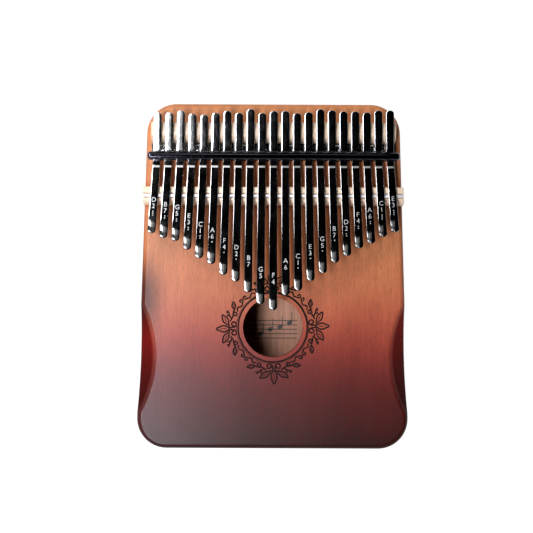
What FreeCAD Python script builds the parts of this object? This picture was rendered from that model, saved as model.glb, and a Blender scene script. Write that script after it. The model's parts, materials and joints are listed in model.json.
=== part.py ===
import FreeCAD, Part
import math
import os

# A box kalimba with twenty-one spring-steel tines, in millimetres.
# It lies on its back: Z is up, +Y runs towards the tails of the tines, +X is to the player's right.
# The origin is at the middle of the underside.

# Hollow wooden body, a little wider at its foot than at the tails of the tines
BODY_LENGTH = 185.0
WIDTH_AT_TAILS = 135.0
WIDTH_AT_FOOT = 146.6
CORNER_RADIUS = 16.0
BOARD_THICKNESS = 4.0
RIM_HEIGHT = 25.0
BACK_THICKNESS = 4.0
WALL = 12.0
EDGE_ROUND = 3.0
SOUND_HOLE_DIAMETER = 32.0
SOUND_HOLE_Y = -27.3
SCOOP_CHORD = 64.0
SCOOP_DEPTH = 9.0
SCOOP_Y = -42.6
SCOOP_SLOPE_DEG = 45.0
SCOOP_CREASE_ROUND = 2.5

# Brace glued under the soundboard, which the bracket's screws bite into
BLOCK_DEPTH = 12.0
BLOCK_HEIGHT = 12.0

# Front bridge with the steel rod that the tines bear on
FRONT_BRIDGE_Y = 37.9
FRONT_BRIDGE_DEPTH = 9.5
FRONT_BRIDGE_HEIGHT = 5.2
FRONT_BRIDGE_NOSE = 3.7
ROD_Y = 42.8
ROD_DIAMETER = 2.0
ROD_AXIS_HEIGHT = 5.0
ROD_GROOVE_RADIUS = 1.25

# Rear bridge, a quarter round at the front and flat on top
REAR_BRIDGE_Y = 71.1
REAR_BRIDGE_DEPTH = 10.6
REAR_BRIDGE_HEIGHT = 6.0
REAR_BRIDGE_LENGTH = 129.6
REAR_BRIDGE_BACK_ROUND = 1.2

# Round bar that clamps the tines, and the bracket that holds it down
BAR_Y = 63.5
BAR_DIAMETER = 4.6
BAR_LENGTH = 133.0
BAR_END_ROUND = 1.6
BRACKET_LENGTH = 130.0
BRACKET_THICKNESS = 1.2
BRACKET_CORNER = 1.5
BRACKET_FRONT_LIP = 2.0
LUG_WIDTH = 1.4
LUG_BACK_LIP = 2.6
LUG_BELOW_AXIS = 0.5
LUG_GAPS = (2.5, 5.5, 9.5, 13.5, 17.5, 20.5)

# Cross-head screws through the bracket
SCREW_GAPS = (1.5, 4.5, 8.5, 12.5, 16.5, 19.5)
SCREW_Y = 68.1
SCREW_HEAD_DIAMETER = 4.4
SCREW_HEAD_HEIGHT = 1.5
SCREW_HEAD_ROUND = 0.9
SCREW_SHANK_DIAMETER = 2.4
SCREW_LENGTH = 13.0
SCREW_SLOT_WIDTH = 0.6
SCREW_SLOT_LENGTH = 2.4
SCREW_SLOT_DEPTH = 0.8

# Tines, from the left: how far each one reaches in front of the rod and behind the bar
FREE_LENGTHS = (
    20.5, 23.0, 24.5, 29.0, 33.5, 36.5, 42.0, 45.5, 51.0, 57.0, 60.0,
    52.5, 50.0, 45.0, 41.0, 35.5, 32.0, 28.0, 25.5, 22.0, 19.5,
)
TAIL_LENGTHS = (
    22.5, 22.5, 23.5, 22.0, 21.5, 22.5, 23.5, 22.5, 24.5, 22.5, 23.5,
    23.5, 22.5, 23.0, 24.5, 24.0, 23.5, 23.5, 23.0, 24.0, 24.0,
)
TINE_THICKNESS = 1.1
TINE_PITCH_AT_BAR = 6.19
TINE_FAN_DEG = 0.27
TINE_TAIL_WIDTH = 4.4
TINE_WAIST_WIDTH = 3.9
TINE_TIP_WIDTH = 4.3
TINE_END_BULGE = 1.3
TINE_HEIGHT_UNDER_BAR = 3.5
TINE_FLAT_UNDER_BAR = 5.0
TIP_CURVE_LENGTH = 8.7
TIP_CURVE_DEG = 15.0
FLEX_POINT_SHARE = 0.15

# Clearances
ROD_GAP = 0.2
CREST_GAP = 0.3
BAR_GAP = 0.1
ROD_SEAT_GAP = 0.02
BAR_SEAT_GAP = 0.02
SCREW_PILOT_GAP = 0.05
SCREW_HOLE_GAP = 0.2
BRACKET_BRIDGE_GAP = 0.1
FLEX_GAP = 0.1

# Places that follow from the sizes above
BOARD_UNDERSIDE = BACK_THICKNESS + RIM_HEIGHT
BOARD_TOP = BOARD_UNDERSIDE + BOARD_THICKNESS
ROD_Z = BOARD_TOP + ROD_AXIS_HEIGHT
TINE_SEAT_Z = BOARD_TOP + TINE_HEIGHT_UNDER_BAR
BAR_Z = TINE_SEAT_Z + TINE_THICKNESS + BAR_GAP + BAR_DIAMETER / 2
SIDE_TAPER = (WIDTH_AT_FOOT - WIDTH_AT_TAILS) / 2 / BODY_LENGTH
MIDDLE_TINE = (len(FREE_LENGTHS) + 1) / 2
OVERSIZE = 1.0


def half_width(y):
    """Half the body's width at a place along it."""
    return WIDTH_AT_TAILS / 2 + SIDE_TAPER * (BODY_LENGTH / 2 - y)


def body_block(low, height, inset=0.0):
    """Slab with the body's outline, drawn in by an inset, with rounded upright corners."""
    side_inset = inset * math.hypot(1.0, SIDE_TAPER)
    end = BODY_LENGTH / 2 - inset
    foot = half_width(-end) - side_inset
    head = half_width(end) - side_inset
    corners = [(-foot, -end), (foot, -end), (head, end), (-head, end), (-foot, -end)]
    outline = Part.makePolygon([FreeCAD.Vector(x, y, low) for x, y in corners])
    slab = Part.Face(outline).extrude(FreeCAD.Vector(0, 0, height))
    upright = [edge for edge in slab.Edges if abs(edge.Vertexes[0].Z - edge.Vertexes[-1].Z) > height / 2]
    return slab.makeFillet(CORNER_RADIUS - inset, upright)


def rounded_rim(slab, height):
    """The slab with its outer edge at one height rounded over."""
    edges = [edge for edge in slab.Edges if all(abs(v.Z - height) < 1e-6 for v in edge.Vertexes)]
    return slab.makeFillet(EDGE_ROUND, edges)


def cross_box(front, depth, low, height, half_length=None):
    """Box that runs across the body."""
    half = half_length or max(WIDTH_AT_FOOT, WIDTH_AT_TAILS)
    return Part.makeBox(2 * half, depth, height, FreeCAD.Vector(-half, front, low))


def cross_rod(radius, length, y, z):
    """Round bar that runs across the body."""
    return Part.makeCylinder(radius, length, FreeCAD.Vector(-length / 2, y, z), FreeCAD.Vector(1, 0, 0))


def scoop_cutter(side):
    """Cylinder that hollows one long side for the palm, leaning down and outwards."""
    slope = math.radians(SCOOP_SLOPE_DEG)
    bite = SCOOP_DEPTH * math.sin(slope)
    radius = ((SCOOP_CHORD / 2) ** 2 + bite**2) / (2 * bite)
    along = FreeCAD.Vector(side * math.cos(slope), 0, -math.sin(slope))
    outward = FreeCAD.Vector(side * math.sin(slope), 0, math.cos(slope))
    crease = FreeCAD.Vector(side * (half_width(SCOOP_Y) - SCOOP_DEPTH), SCOOP_Y, BOARD_TOP)
    start = crease + outward * radius - along * BODY_LENGTH
    return Part.makeCylinder(radius, 2 * BODY_LENGTH, start, along)


def make_body():
    """The whole box as one solid block: rounded edges, then both palm scoops with soft creases."""
    block = rounded_rim(rounded_rim(body_block(0.0, BOARD_TOP), BOARD_TOP), 0.0)
    block = block.cut(scoop_cutter(-1)).cut(scoop_cutter(1))
    hollows = [face for face in block.Faces if is_scoop(face.Surface)]
    creases = [edge for face in hollows for edge in face.Edges]
    return block.makeFillet(SCOOP_CREASE_ROUND, creases)


def is_scoop(surface):
    """Whether a surface is the leaning cylinder of a palm scoop."""
    return surface.TypeId == "Part::GeomCylinder" and 0.1 < abs(surface.Axis.z) < 0.9


def body_layer(body, low, height):
    """Slice of the whole box between two heights."""
    return body.common(cross_box(-BODY_LENGTH, 2 * BODY_LENGTH, low, height))


def gap_x(gap, y):
    """Place across the body of the gap beside a tine, counted from the left, at a place along it."""
    spread = TINE_PITCH_AT_BAR + math.radians(TINE_FAN_DEG) * (BAR_Y - y)
    return (gap - MIDDLE_TINE) * spread


def screw_bores(radius):
    """Bores for all the bracket's screws."""
    down = FreeCAD.Vector(0, 0, -1)
    top = BOARD_TOP + BRACKET_THICKNESS + OVERSIZE
    bores = [
        Part.makeCylinder(radius, SCREW_LENGTH + OVERSIZE, FreeCAD.Vector(gap_x(gap, SCREW_Y), SCREW_Y, top), down)
        for gap in SCREW_GAPS
    ]
    return Part.makeCompound(bores)


def make_soundboard(body):
    """Top plate; its rounded edge stops at the front bridge, which is flush with the sides."""
    square = body_block(BOARD_UNDERSIDE, BOARD_THICKNESS)
    landing = square.common(cross_box(FRONT_BRIDGE_Y, FRONT_BRIDGE_DEPTH, BOARD_UNDERSIDE, BOARD_THICKNESS))
    board = body_layer(body, BOARD_UNDERSIDE, BOARD_THICKNESS).fuse(landing)
    hole_start = FreeCAD.Vector(0, SOUND_HOLE_Y, BOARD_UNDERSIDE - OVERSIZE)
    board = board.cut(Part.makeCylinder(SOUND_HOLE_DIAMETER / 2, BOARD_THICKNESS + 2 * OVERSIZE, hole_start))
    return board.cut(screw_bores(SCREW_SHANK_DIAMETER / 2 + SCREW_PILOT_GAP)).removeSplitter()


def make_rim(body):
    """Side walls between the two plates, bored where the outer screws run into them."""
    ring = body_layer(body, BACK_THICKNESS, RIM_HEIGHT).cut(body_block(BACK_THICKNESS, RIM_HEIGHT, WALL))
    return ring.cut(screw_bores(SCREW_SHANK_DIAMETER / 2 + SCREW_PILOT_GAP))


def make_back_plate(body):
    """Bottom plate with its lower edge rounded over."""
    return body_layer(body, 0.0, BACK_THICKNESS)


def make_screw_block():
    """Brace from wall to wall under the bracket, centred on the screws."""
    low = BOARD_UNDERSIDE - BLOCK_HEIGHT
    cavity = body_block(low, BLOCK_HEIGHT, WALL)
    block = cavity.common(cross_box(SCREW_Y - BLOCK_DEPTH / 2, BLOCK_DEPTH, low, BLOCK_HEIGHT))
    return block.cut(screw_bores(SCREW_SHANK_DIAMETER / 2 + SCREW_PILOT_GAP))


def make_front_bridge():
    """Maple rail with a rounded nose and a groove for the rod, ends flush with the body."""
    rail = cross_box(FRONT_BRIDGE_Y, FRONT_BRIDGE_DEPTH, BOARD_TOP, FRONT_BRIDGE_HEIGHT)
    front = [
        edge for edge in rail.Edges
        if all(abs(v.Y - FRONT_BRIDGE_Y) < 1e-6 and v.Z > BOARD_TOP + OVERSIZE for v in edge.Vertexes)
    ]
    rail = rail.makeFillet(FRONT_BRIDGE_NOSE, front)
    groove_z = ROD_Z - ROD_DIAMETER / 2 - ROD_SEAT_GAP + ROD_GROOVE_RADIUS
    rail = rail.cut(cross_rod(ROD_GROOVE_RADIUS, 3 * WIDTH_AT_FOOT, ROD_Y, groove_z))
    return rail.common(body_block(BOARD_TOP, FRONT_BRIDGE_HEIGHT))


def make_bridge_rod():
    """Steel rod in the front bridge's groove, as long as the body is wide there."""
    return cross_rod(ROD_DIAMETER / 2, 2 * half_width(ROD_Y + ROD_DIAMETER / 2), ROD_Y, ROD_Z)


def make_rear_bridge():
    """Maple rail that rolls down towards the bar."""
    rail = cross_box(REAR_BRIDGE_Y, REAR_BRIDGE_DEPTH, BOARD_TOP, REAR_BRIDGE_HEIGHT, REAR_BRIDGE_LENGTH / 2)
    top = BOARD_TOP + REAR_BRIDGE_HEIGHT
    long_top = [
        edge for edge in rail.Edges
        if all(abs(v.Z - top) < 1e-6 for v in edge.Vertexes) and edge.Length > REAR_BRIDGE_LENGTH - 1e-6
    ]
    back = [edge for edge in long_top if edge.Vertexes[0].Y > REAR_BRIDGE_Y + REAR_BRIDGE_DEPTH / 2]
    rail = rail.makeFillet(REAR_BRIDGE_BACK_ROUND, back)
    corner = Part.makeBox(
        2 * REAR_BRIDGE_LENGTH, REAR_BRIDGE_HEIGHT, 2 * REAR_BRIDGE_HEIGHT,
        FreeCAD.Vector(-REAR_BRIDGE_LENGTH, REAR_BRIDGE_Y, BOARD_TOP),
    )
    quarter = cross_rod(
        REAR_BRIDGE_HEIGHT, 2 * REAR_BRIDGE_LENGTH, REAR_BRIDGE_Y + REAR_BRIDGE_HEIGHT, BOARD_TOP
    )
    return rail.cut(corner.cut(quarter))


def make_pressure_bar():
    """Round bar with softened ends."""
    bar = cross_rod(BAR_DIAMETER / 2, BAR_LENGTH, BAR_Y, BAR_Z)
    rims = [edge for edge in bar.Edges if edge.Curve.TypeId == "Part::GeomCircle"]
    return bar.makeFillet(BAR_END_ROUND, rims)


def make_bar_bracket():
    """Steel strip on the soundboard, with lugs between tines whose seats are brazed to the bar."""
    front = BAR_Y - BRACKET_FRONT_LIP
    depth = REAR_BRIDGE_Y - BRACKET_BRIDGE_GAP - front
    strip = cross_box(front, depth, BOARD_TOP, BRACKET_THICKNESS, BRACKET_LENGTH / 2)
    upright = [edge for edge in strip.Edges if abs(edge.Vertexes[0].Z - edge.Vertexes[-1].Z) > OVERSIZE]
    strip = strip.makeFillet(BRACKET_CORNER, upright)
    lug_height = BAR_Z - LUG_BELOW_AXIS - BOARD_TOP
    for gap in LUG_GAPS:
        corner = FreeCAD.Vector(gap_x(gap, BAR_Y) - LUG_WIDTH / 2, front, BOARD_TOP)
        strip = strip.fuse(Part.makeBox(LUG_WIDTH, BRACKET_FRONT_LIP + LUG_BACK_LIP, lug_height, corner))
    strip = strip.cut(cross_rod(BAR_DIAMETER / 2 + BAR_SEAT_GAP, 2 * BAR_LENGTH, BAR_Y, BAR_Z))
    return strip.cut(screw_bores(SCREW_SHANK_DIAMETER / 2 + SCREW_HOLE_GAP)).removeSplitter()


def make_screw(x):
    """One pan-head screw with a cross recess."""
    seat = BOARD_TOP + BRACKET_THICKNESS
    top = seat + SCREW_HEAD_HEIGHT
    head = Part.makeCylinder(SCREW_HEAD_DIAMETER / 2, SCREW_HEAD_HEIGHT, FreeCAD.Vector(x, SCREW_Y, seat))
    crown = [edge for edge in head.Edges if len(edge.Vertexes) == 1 and abs(edge.Vertexes[0].Z - top) < 1e-6]
    head = head.makeFillet(SCREW_HEAD_ROUND, crown)
    shank = Part.makeCylinder(
        SCREW_SHANK_DIAMETER / 2, SCREW_LENGTH, FreeCAD.Vector(x, SCREW_Y, seat - SCREW_LENGTH)
    )
    screw = head.fuse(shank)
    low = top - SCREW_SLOT_DEPTH
    for size_x, size_y in ((SCREW_SLOT_LENGTH, SCREW_SLOT_WIDTH), (SCREW_SLOT_WIDTH, SCREW_SLOT_LENGTH)):
        corner = FreeCAD.Vector(x - size_x / 2, SCREW_Y - size_y / 2, low)
        screw = screw.cut(Part.makeBox(size_x, size_y, SCREW_SLOT_DEPTH + OVERSIZE, corner))
    return screw.removeSplitter()


def make_bracket_screws():
    """All the bracket's screws."""
    return Part.makeCompound([make_screw(gap_x(gap, SCREW_Y)) for gap in SCREW_GAPS])


def rise_over(start, centre, reach):
    """Slope, in radians, of a line from a start point that passes over a circle at one distance."""
    run = centre[0] - start[0]
    climb = centre[1] - start[1]
    return math.atan2(climb, run) + math.asin(reach / math.hypot(run, climb))


# Slopes of a tine's underside on each side of the bar, in a side view with u counted along the tine
HALF_FLAT = TINE_FLAT_UNDER_BAR / 2
BEND = (HALF_FLAT, TINE_SEAT_Z)
FRONT_SLOPE = rise_over(BEND, (BAR_Y - ROD_Y, ROD_Z), ROD_DIAMETER / 2 + ROD_GAP)
CREST = (REAR_BRIDGE_Y + REAR_BRIDGE_HEIGHT - BAR_Y, BOARD_TOP)
REAR_SLOPE = rise_over(BEND, CREST, REAR_BRIDGE_HEIGHT + CREST_GAP)


def front_line(u):
    """Point on the tine's underside in front of the bar."""
    return (u, TINE_SEAT_Z + (u - HALF_FLAT) * math.tan(FRONT_SLOPE))


def raised(point, slope, distance):
    """Point moved off a line of one slope, square to it."""
    return (point[0] - distance * math.sin(slope), point[1] + distance * math.cos(slope))


def side_vector(point):
    """Place in the model of a point in the side view."""
    return FreeCAD.Vector(0, BAR_Y - point[0], point[1])


def side_prism(edges):
    """Side view of a tine carried across its width."""
    face = Part.Face(Part.Wire(edges))
    face.translate(FreeCAD.Vector(-TINE_TAIL_WIDTH, 0, 0))
    return face.extrude(FreeCAD.Vector(2 * TINE_TAIL_WIDTH, 0, 0))


def line_edges(points):
    """Straight edges through points of the side view."""
    return [Part.LineSegment(side_vector(a), side_vector(b)).toShape() for a, b in zip(points, points[1:])]


def flex_u(free):
    """How far in front of the bar a tine of one free length bends when it is plucked."""
    return BAR_Y - ROD_Y + FLEX_POINT_SHARE * free


def shank_prism(free, tail):
    """Clamped part of a tine, with its two bends under the bar."""
    thick = TINE_THICKNESS
    end = (-tail, TINE_SEAT_Z + (tail - HALF_FLAT) * math.tan(REAR_SLOPE))
    split = front_line(flex_u(free) - FLEX_GAP / 2)
    shift_rear = thick * math.tan(REAR_SLOPE / 2)
    shift_front = thick * math.tan(FRONT_SLOPE / 2)
    points = [
        end,
        (-HALF_FLAT, TINE_SEAT_Z),
        (HALF_FLAT, TINE_SEAT_Z),
        split,
        raised(split, FRONT_SLOPE, thick),
        (HALF_FLAT - shift_front, TINE_SEAT_Z + thick),
        (-HALF_FLAT + shift_rear, TINE_SEAT_Z + thick),
        raised(end, -REAR_SLOPE, thick),
        end,
    ]
    return side_prism(line_edges(points))


def tongue_prism(free):
    """Free part of a tine, straight and then curved up at the tip."""
    thick = TINE_THICKNESS
    curve = math.radians(TIP_CURVE_DEG)
    radius = TIP_CURVE_LENGTH / curve
    tip_u = BAR_Y - ROD_Y + free
    curve_u = tip_u - radius * (math.sin(FRONT_SLOPE + curve) - math.sin(FRONT_SLOPE))
    start = front_line(flex_u(free) + FLEX_GAP / 2)
    straight_end = front_line(curve_u)
    centre = raised(straight_end, FRONT_SLOPE, radius)

    def on_curve(share, distance):
        angle = FRONT_SLOPE + share * curve
        return (centre[0] + distance * math.sin(angle), centre[1] - distance * math.cos(angle))

    def arc_edge(distance, shares):
        return Part.Arc(*[side_vector(on_curve(share, distance)) for share in shares]).toShape()

    inner = radius - thick
    edges = line_edges([start, straight_end])
    edges.append(arc_edge(radius, (0.0, 0.5, 1.0)))
    edges += line_edges([on_curve(1.0, radius), on_curve(1.0, inner)])
    edges.append(arc_edge(inner, (1.0, 0.5, 0.0)))
    edges += line_edges([on_curve(0.0, inner), raised(start, FRONT_SLOPE, thick), start])
    return side_prism(edges)


def plan_prism(free, tail):
    """Outline of a tine from above: waisted at the bar, with bulged ends."""
    low = BOARD_TOP
    tip_y = ROD_Y - free
    tail_y = BAR_Y + tail
    tip_half = TINE_TIP_WIDTH / 2
    tail_half = TINE_TAIL_WIDTH / 2
    waist_half = TINE_WAIST_WIDTH / 2

    def spot(x, y):
        return FreeCAD.Vector(x, y, low)

    tip_side = tip_y + TINE_END_BULGE
    tail_side = tail_y - TINE_END_BULGE
    right = [spot(tip_half, tip_side), spot(waist_half, BAR_Y), spot(tail_half, tail_side)]
    left = [spot(-tail_half, tail_side), spot(-waist_half, BAR_Y), spot(-tip_half, tip_side)]
    edges = [Part.LineSegment(a, b).toShape() for a, b in zip(right, right[1:])]
    edges.append(Part.Arc(right[-1], spot(0, tail_y), left[0]).toShape())
    edges += [Part.LineSegment(a, b).toShape() for a, b in zip(left, left[1:])]
    edges.append(Part.Arc(left[-1], spot(0, tip_y), right[0]).toShape())
    return Part.Face(Part.Wire(edges)).extrude(FreeCAD.Vector(0, 0, BODY_LENGTH))


def placed_tine(shape, number):
    """A tine, drawn on the middle line, put in its place in the fan."""
    steps = number - MIDDLE_TINE
    shape.rotate(FreeCAD.Vector(0, BAR_Y, 0), FreeCAD.Vector(0, 0, 1), steps * TINE_FAN_DEG)
    shape.translate(FreeCAD.Vector(steps * TINE_PITCH_AT_BAR, 0, 0))
    return shape


def make_tine(number):
    """Shank and tongue of one tine, which is a single strip bent at the flex point."""
    free = FREE_LENGTHS[number - 1]
    tail = TAIL_LENGTHS[number - 1]
    plan = plan_prism(free, tail)
    shank = placed_tine(shank_prism(free, tail).common(plan), number)
    tongue = placed_tine(tongue_prism(free).common(plan), number)
    return shank, tongue


def main():
    """Write every piece to its own file."""
    body = make_body()
    pieces = {
        "soundboard": make_soundboard(body),
        "rim": make_rim(body),
        "back_plate": make_back_plate(body),
        "screw_block": make_screw_block(),
        "front_bridge": make_front_bridge(),
        "bridge_rod": make_bridge_rod(),
        "rear_bridge": make_rear_bridge(),
        "bar_bracket": make_bar_bracket(),
        "pressure_bar": make_pressure_bar(),
        "bracket_screws": make_bracket_screws(),
    }
    for number in range(1, len(FREE_LENGTHS) + 1):
        shank, tongue = make_tine(number)
        pieces[f"tine_{number:02d}_shank"] = shank
        pieces[f"tine_{number:02d}_tongue"] = tongue
    os.makedirs("parts", exist_ok=True)
    for name, shape in pieces.items():
        shape.exportStep(f"parts/{name}.step")
        print(name, len(shape.Solids), round(shape.Volume, 1), shape.isValid())


main()
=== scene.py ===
# %% [markdown]
# # A box kalimba with twenty-one tines
# A kalimba is a hollow wooden box with a fan of spring-steel tines clamped across it. The frame holds
# every piece at its true size and place. This lesson gives the pieces their finish, and models again
# the ones whose looks need more than a plain solid: the carved soundboard, the two bridges and the
# tines.

# %% Load the frame
import json
import math

import bmesh
import bpy
from mathutils import Matrix, Vector


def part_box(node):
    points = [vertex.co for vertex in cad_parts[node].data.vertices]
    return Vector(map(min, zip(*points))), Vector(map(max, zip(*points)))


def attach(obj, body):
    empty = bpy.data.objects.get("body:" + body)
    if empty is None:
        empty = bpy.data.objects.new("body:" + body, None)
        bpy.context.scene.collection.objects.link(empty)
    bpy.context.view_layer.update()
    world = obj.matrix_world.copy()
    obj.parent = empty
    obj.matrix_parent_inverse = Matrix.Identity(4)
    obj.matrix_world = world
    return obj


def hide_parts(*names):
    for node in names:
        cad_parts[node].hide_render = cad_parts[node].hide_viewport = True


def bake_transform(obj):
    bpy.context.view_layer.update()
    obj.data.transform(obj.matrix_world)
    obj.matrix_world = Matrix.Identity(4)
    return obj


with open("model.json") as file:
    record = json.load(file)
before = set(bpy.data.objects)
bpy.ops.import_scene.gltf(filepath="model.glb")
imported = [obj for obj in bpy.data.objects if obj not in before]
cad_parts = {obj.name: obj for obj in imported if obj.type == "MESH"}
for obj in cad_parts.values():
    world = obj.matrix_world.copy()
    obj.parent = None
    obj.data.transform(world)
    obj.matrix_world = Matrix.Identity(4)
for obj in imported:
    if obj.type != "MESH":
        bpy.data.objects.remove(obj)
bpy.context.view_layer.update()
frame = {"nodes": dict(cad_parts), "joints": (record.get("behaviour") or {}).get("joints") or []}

MM = 0.001
TINE_COUNT = 21
joints = {joint["name"]: joint for joint in frame["joints"]}

# %% [markdown]
# ## Helpers for pieces
# A mesh that is round in one place and flat in another needs both soft and crisp shading. Blender
# shades a face smoothly and breaks the shading at edges marked sharp. So one helper marks every edge
# that turns by more than an angle, and every edge around a broad flat face, which would otherwise
# pick up a gradient from its neighbours. The others turn a bmesh into a named piece on its body,
# space values evenly, and copy a CAD node.

# %% Helpers for pieces
def shade(mesh, degrees=35.0, flat_axis=None):
    """Smooth shading, broken at edges sharper than an angle and around faces square to an axis."""
    if "custom_normal" in mesh.attributes:
        mesh.attributes.remove(mesh.attributes["custom_normal"])
    mesh.shade_smooth()
    mesh.set_sharp_from_angle(angle=math.radians(degrees))
    if flat_axis is None:
        return
    bm = bmesh.new()
    bm.from_mesh(mesh)
    bm.normal_update()
    axis = Vector(flat_axis)
    for edge in bm.edges:
        level = [face.normal.dot(axis) > 0.99995 for face in edge.link_faces]
        if len(level) == 2 and level[0] != level[1]:
            edge.smooth = False
    bm.to_mesh(mesh)
    bm.free()


def piece_from(bm, name, body, materials, replaced=()):
    """A finished piece from a bmesh: an object at the origin that rides on a body."""
    mesh = bpy.data.meshes.new(name)
    bm.to_mesh(mesh)
    bm.free()
    piece = bpy.data.objects.new(name, mesh)
    bpy.context.scene.collection.objects.link(piece)
    for material in materials:
        mesh.materials.append(material)
    if body:
        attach(piece, body)
    if replaced:
        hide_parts(*replaced)
    return piece


def spread(start, end, count):
    """Evenly spaced values from start to end."""
    return [start + (end - start) * index / count for index in range(count + 1)]


def merged_copy(node_name):
    """A bmesh of a CAD node with its loose triangles joined into one closed surface."""
    bm = bmesh.new()
    bm.from_mesh(frame["nodes"][node_name].data)
    bmesh.ops.remove_doubles(bm, verts=bm.verts, dist=0.001 * MM)
    bmesh.ops.dissolve_degenerate(bm, edges=bm.edges, dist=0.0001 * MM)
    return bm


print("CAD nodes in the frame:", len(frame["nodes"]))

# %% [markdown]
# ## Helpers for materials
# Every finish is a Principled shader with procedural detail. Values that are the same all over go
# straight onto the shader's sockets. Everything that varies is a texture that reads Object
# coordinates, in metres. Short helpers make and join the nodes, so that each recipe further on reads
# like a list of what the finish is made of.

# %% Helpers for materials
def new_material(name, **values):
    """A material and its shader, with constant values set on the shader's own sockets."""
    material = bpy.data.materials.new(name)
    material.use_nodes = True
    shader = material.node_tree.nodes["Principled BSDF"]
    for socket, value in values.items():
        shader.inputs[socket.replace("_", " ")].default_value = value
    return material, shader


def add_node(material, kind, inputs=None, **settings):
    """A node with its settings, and its inputs linked from a socket or given a value."""
    made = material.node_tree.nodes.new("ShaderNode" + kind)
    for key, value in settings.items():
        setattr(made, key, value)
    for key, value in (inputs or {}).items():
        if isinstance(value, bpy.types.NodeSocket):
            material.node_tree.links.new(value, made.inputs[key])
        else:
            made.inputs[key].default_value = value
    return made


def link(material, output, target):
    """Join two sockets."""
    material.node_tree.links.new(output, target)


def math_node(material, operation, first, second=0.0):
    """Result of a sum on two sockets or numbers."""
    return add_node(material, "Math", {0: first, 1: second}, operation=operation).outputs[0]


def stretched_noise(material, scale, stretch, detail=3.0, roughness=0.55):
    """Noise on Object coordinates, squeezed along each axis by the stretch."""
    place = add_node(material, "TexCoord").outputs["Object"]
    mapped = add_node(material, "Mapping", {"Vector": place, "Scale": stretch}).outputs[0]
    values = {"Vector": mapped, "Scale": scale, "Detail": detail, "Roughness": roughness}
    return add_node(material, "TexNoise", values).outputs["Fac"]


def ramp(material, factor, stops, interpolation="LINEAR"):
    """Colour ramp with (place, colour) stops."""
    made = add_node(material, "ValToRGB", {"Fac": factor})
    made.color_ramp.interpolation = interpolation
    elements = made.color_ramp.elements
    while len(elements) < len(stops):
        elements.new(0.5)
    for element, (place, colour) in zip(elements, stops):
        element.position = place
        element.color = (*colour, 1.0) if len(colour) == 3 else colour
    return made.outputs["Color"]


def grey(level):
    """Three equal parts of colour."""
    return (level, level, level)


def tinted(material, colour, factor, strength):
    """The colour darkened by a factor, at a strength."""
    values = {0: strength, 6: colour, 7: factor}
    return add_node(material, "Mix", values, data_type="RGBA", blend_type="MULTIPLY").outputs[2]


def blended(material, factor, first, second):
    """The first colour where the factor is 0 and the second where it is 1."""
    return add_node(material, "Mix", {6: first, 7: second, 0: factor}, data_type="RGBA").outputs[2]


def bumped(material, shader, height, depth, strength=0.5):
    """A height pressed into the surface, as deep as a real distance."""
    values = {"Height": height, "Distance": depth, "Strength": strength}
    link(material, add_node(material, "Bump", values).outputs[0], shader.inputs["Normal"])


print("materials so far:", len(bpy.data.materials))

# %% [markdown]
# ## Lacquered mahogany
# The box is stained like a sunburst guitar: orange at the tails of the tines, red in the middle and
# dark maroon at the foot, under a satin lacquer. Mahogany shows fine fibres and short dark pores
# along its length. The stain is a colour ramp along the body, whose border is made uneven with a
# broad noise. Painted shade darkens every surface below the board's face, edges and scoops alike,
# most over the foot half, and a painted shadow lies as a soft dark patch beside the left scoop. A
# laser burns the carved grooves, so the colour turns to char wherever the surface lies below the
# board's face near the sound hole.

# %% Lacquered mahogany
board_low, board_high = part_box("soundboard")
BODY_LENGTH = board_high.y - board_low.y
BOARD_TOP = board_high.z
STAIN = (
    (0.00, (0.018, 0.004, 0.003)),
    (0.07, (0.050, 0.007, 0.005)),
    (0.16, (0.080, 0.011, 0.009)),
    (0.23, (0.132, 0.017, 0.013)),
    (0.30, (0.24, 0.034, 0.021)),
    (0.37, (0.35, 0.068, 0.036)),
    (0.46, (0.45, 0.130, 0.056)),
    (0.60, (0.49, 0.178, 0.070)),
    (0.80, (0.54, 0.205, 0.084)),
    (1.00, (0.58, 0.225, 0.090)),
)
# Painted shade: a dark colour laid over every surface below the board's face, edges and scoops.
PAINTED_EDGE_SHADE = (0.52, 0.065, 0.012)
BELOW_FACE_DEPTH = 2.5 * MM
# Painted shadow: a soft dark patch on the board beside the left scoop.
PAINTED_SHADOW_PLACE = (-74.0 * MM, -11.0 * MM, BOARD_TOP)
PAINTED_SHADOW_REACH = (19.0 * MM, 30.0 * MM, 40.0 * MM)
PAINTED_SHADOW_COLOUR = (0.20, 0.13, 0.12)
CHAR = (0.012, 0.005, 0.004)
CHAR_TOP = 0.03 * MM
CHAR_BOTTOM = 1.0 * MM


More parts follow.
